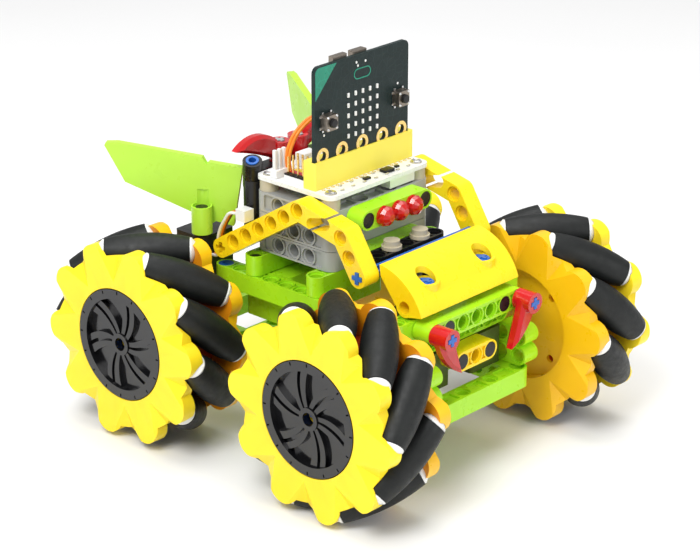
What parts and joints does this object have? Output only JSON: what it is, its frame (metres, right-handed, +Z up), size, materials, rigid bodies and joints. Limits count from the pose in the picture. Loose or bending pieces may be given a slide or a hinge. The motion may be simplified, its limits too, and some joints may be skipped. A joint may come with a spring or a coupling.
{
  "type": "mecanum wheel robot",
  "caption": "Small four-wheel mecanum robot of grid beams with a microcontroller board, LED screen, hooded nose with fangs, horns and rear wings.",
  "frame": {"origin": "on the floor under the middle of the overall box, midway between the left and right wheels", "axes": "+Z up, -Y towards the nose, +X to the right seen from the front"},
  "size_m": [0.1522, 0.181, 0.153],
  "materials": {
    "yellow_plastic": "smooth, slightly glossy moulded plastic",
    "amber_plastic": "smooth moulded plastic, amber, with an orange-red drum between the wheel plates",
    "lime_plastic": "smooth, slightly glossy moulded plastic",
    "grey_plastic": "smooth moulded plastic",
    "black_plastic": "black moulded plastic",
    "dark_plastic": "dark moulded plastic",
    "black_rubber": "matte rubber",
    "white_plastic": "white moulded plastic",
    "beige_plastic": "beige to grey moulded plastic",
    "red_plastic": "glossy, slightly translucent moulded plastic",
    "red_clear_plastic": "translucent faceted moulded plastic",
    "blue_plastic": "blue moulded plastic",
    "white_board": "white solder mask on glass-epoxy board",
    "dark_board": "dark solder mask on glass-epoxy board",
    "bright_steel": "bright stamped steel",
    "lead_sheath": "orange, white and brown lead sheaths"
  },
  "bodies": {
    "chassis": {"arm_axle": "blue_plastic", "battery_box": "lime_plastic", "bent_arms": "yellow_plastic", "black_links": "black_plastic", "black_pins": "black_plastic", "blue_pins": "blue_plastic", "bushes": "beige_plastic", "corner_rails": "lime_plastic", "cross_beams": "lime_plastic", "edge_connector": "yellow_plastic", "expansion_board": "white_board", "floor_frames": "lime_plastic", "front_lamps": "red_clear_plastic", "gear_motors": "dark_plastic", "header_blocks": "white_plastic", "hood": "yellow_plastic", "leads": "lead_sheath", "nose_beams": "lime_plastic", "side_beams": "lime_plastic", "stack_frames": "grey_plastic", "stack_front_beams": "lime_plastic", "teeth_beam": "yellow_plastic"},
    "card": {"controller_board": "dark_board", "card_fittings": "bright_steel"},
    "button_a": {"button_a": "black_plastic"},
    "button_b": {"button_b": "black_plastic"},
    "fang_left": {"fang_left": "red_plastic"},
    "fang_right": {"fang_right": "red_plastic"},
    "horn_left": {"horn_left": "red_plastic"},
    "horn_right": {"horn_right": "red_plastic"},
    "wing_left": {"wing_left": "lime_plastic"},
    "wing_right": {"wing_right": "lime_plastic"},
    "wheel_front_right": {"wheel_front_right_plate": "yellow_plastic", "wheel_front_right_hub": "amber_plastic", "wheel_front_right_rim": "black_plastic", "wheel_front_right_rollers": "black_rubber", "wheel_front_right_roller_axles": "white_plastic", "wheel_front_right_axle": "blue_plastic"},
    "roller_front_right": {"wheel_front_right_floor_roller": "black_rubber"},
    "wheel_front_left": {"wheel_front_left_plate": "yellow_plastic", "wheel_front_left_hub": "amber_plastic", "wheel_front_left_rim": "black_plastic", "wheel_front_left_rollers": "black_rubber", "wheel_front_left_roller_axles": "white_plastic", "wheel_front_left_axle": "blue_plastic"},
    "roller_front_left": {"wheel_front_left_floor_roller": "black_rubber"},
    "wheel_rear_right": {"wheel_rear_right_plate": "yellow_plastic", "wheel_rear_right_hub": "amber_plastic", "wheel_rear_right_rim": "black_plastic", "wheel_rear_right_rollers": "black_rubber", "wheel_rear_right_roller_axles": "white_plastic", "wheel_rear_right_axle": "blue_plastic"},
    "roller_rear_right": {"wheel_rear_right_floor_roller": "black_rubber"},
    "wheel_rear_left": {"wheel_rear_left_plate": "yellow_plastic", "wheel_rear_left_hub": "amber_plastic", "wheel_rear_left_rim": "black_plastic", "wheel_rear_left_rollers": "black_rubber", "wheel_rear_left_roller_axles": "white_plastic", "wheel_rear_left_axle": "blue_plastic"},
    "roller_rear_left": {"wheel_rear_left_floor_roller": "black_rubber"}
  },
  "joints": [
    {"name": "wheel_front_right_spin", "type": "hinge", "parent": "chassis", "child": "wheel_front_right", "pos_m": [0.0598, -0.0496, 0.041], "axis": [1, 0, 0], "continuous": true},
    {"name": "roller_front_right_spin", "type": "hinge", "parent": "wheel_front_right", "child": "roller_front_right", "pos_m": [0.0598, -0.0496, 0.0071], "axis": [0.7071, 0.7071, 0], "continuous": true},
    {"name": "wheel_front_left_spin", "type": "hinge", "parent": "chassis", "child": "wheel_front_left", "pos_m": [-0.0598, -0.0496, 0.041], "axis": [1, 0, 0], "continuous": true},
    {"name": "roller_front_left_spin", "type": "hinge", "parent": "wheel_front_left", "child": "roller_front_left", "pos_m": [-0.0598, -0.0496, 0.0071], "axis": [-0.7071, 0.7071, 0], "continuous": true},
    {"name": "wheel_rear_right_spin", "type": "hinge", "parent": "chassis", "child": "wheel_rear_right", "pos_m": [0.0598, 0.0496, 0.041], "axis": [1, 0, 0], "continuous": true},
    {"name": "roller_rear_right_spin", "type": "hinge", "parent": "wheel_rear_right", "child": "roller_rear_right", "pos_m": [0.0598, 0.0496, 0.0071], "axis": [0.7071, -0.7071, 0], "continuous": true},
    {"name": "wheel_rear_left_spin", "type": "hinge", "parent": "chassis", "child": "wheel_rear_left", "pos_m": [-0.0598, 0.0496, 0.041], "axis": [1, 0, 0], "continuous": true},
    {"name": "roller_rear_left_spin", "type": "hinge", "parent": "wheel_rear_left", "child": "roller_rear_left", "pos_m": [-0.0598, 0.0496, 0.0071], "axis": [0.7071, 0.7071, 0], "continuous": true},
    {"name": "card_unplug", "type": "slide", "parent": "chassis", "child": "card", "axis": [0, 0, 1], "range_m": [0, 0.02]},
    {"name": "button_a_press", "type": "slide", "parent": "card", "child": "button_a", "axis": [0, 1, 0], "range_m": [0, 0.00025], "stiffness_N_per_m": 2000, "springref_m": -0.0005},
    {"name": "button_b_press", "type": "slide", "parent": "card", "child": "button_b", "axis": [0, 1, 0], "range_m": [0, 0.00025], "stiffness_N_per_m": 2000, "springref_m": -0.0005},
    {"name": "fang_right_turn", "type": "hinge", "parent": "chassis", "child": "fang_right", "pos_m": [0.024, -0.069, 0.062], "axis": [0, 1, 0], "range_deg": [-8, 285]},
    {"name": "fang_left_turn", "type": "hinge", "parent": "chassis", "child": "fang_left", "pos_m": [-0.024, -0.069, 0.062], "axis": [0, 1, 0], "range_deg": [-285, 8]},
    {"name": "horn_right_turn", "type": "hinge", "parent": "chassis", "child": "horn_right", "pos_m": [0.0052, 0.0318, 0.102], "axis": [0, 0, 1], "range_deg": [0, 120]},
    {"name": "horn_left_turn", "type": "hinge", "parent": "chassis", "child": "horn_left", "pos_m": [-0.0052, 0.0318, 0.102], "axis": [0, 0, 1], "range_deg": [-120, 0]},
    {"name": "wing_right_turn", "type": "hinge", "parent": "chassis", "child": "wing_right", "pos_m": [0.03521, 0.04468, 0.08], "axis": [0, 0, 1], "range_deg": [-60, 8]},
    {"name": "wing_left_turn", "type": "hinge", "parent": "chassis", "child": "wing_left", "pos_m": [-0.03521, 0.04468, 0.08], "axis": [0, 0, 1], "range_deg": [-8, 60]}
  ]
}
